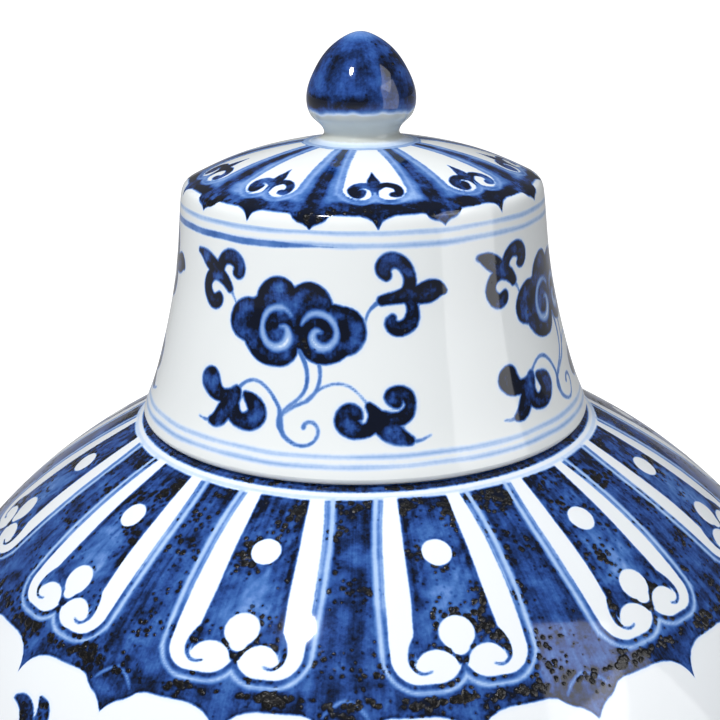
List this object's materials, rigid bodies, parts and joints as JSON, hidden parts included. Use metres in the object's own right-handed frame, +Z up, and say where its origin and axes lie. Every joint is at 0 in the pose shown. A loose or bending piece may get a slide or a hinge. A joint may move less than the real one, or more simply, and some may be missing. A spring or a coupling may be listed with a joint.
{
  "type": "ginger jar",
  "caption": "Tall porcelain ginger jar with broad shoulders, a narrow foot ring and a lift-off bell-shaped cover with a bud finial.",
  "frame": {"origin": "centre of the foot ring's footprint, on the surface that the jar stands on", "axes": "+Z up the turning axis, towards the finial; every piece is turned about it"},
  "size_m": [0.2402, 0.2402, 0.3867],
  "materials": {
    "jar_porcelain": "clear faintly blue glaze over cobalt blue painting on white porcelain, glossy",
    "foot_porcelain": "clear glaze, with the standing rim wiped bare to a warm off-white biscuit",
    "neck_porcelain": "clear glaze over plain white porcelain, glossy",
    "lid_porcelain": "clear faintly blue glaze over cobalt blue painting on white porcelain, glossy",
    "collar_biscuit": "unglazed turned porcelain biscuit, matt, with fine turning lines",
    "finial_porcelain": "mottled cobalt blue wash under a thick clear glaze, glossy"
  },
  "bodies": {
    "jar": {"foot_ring": "foot_porcelain", "base_section": "jar_porcelain", "belly_section": "jar_porcelain", "shoulder_section": "jar_porcelain", "neck_collar": "neck_porcelain"},
    "lid": {"lid_bell": "lid_porcelain", "lid_locating_collar": "collar_biscuit", "bud_finial": "finial_porcelain"}
  },
  "joints": [
    {"name": "lid_lift", "type": "slide", "parent": "jar", "child": "lid", "axis": [0, 0, 1], "range_m": [0, 0.12]}
  ]
}
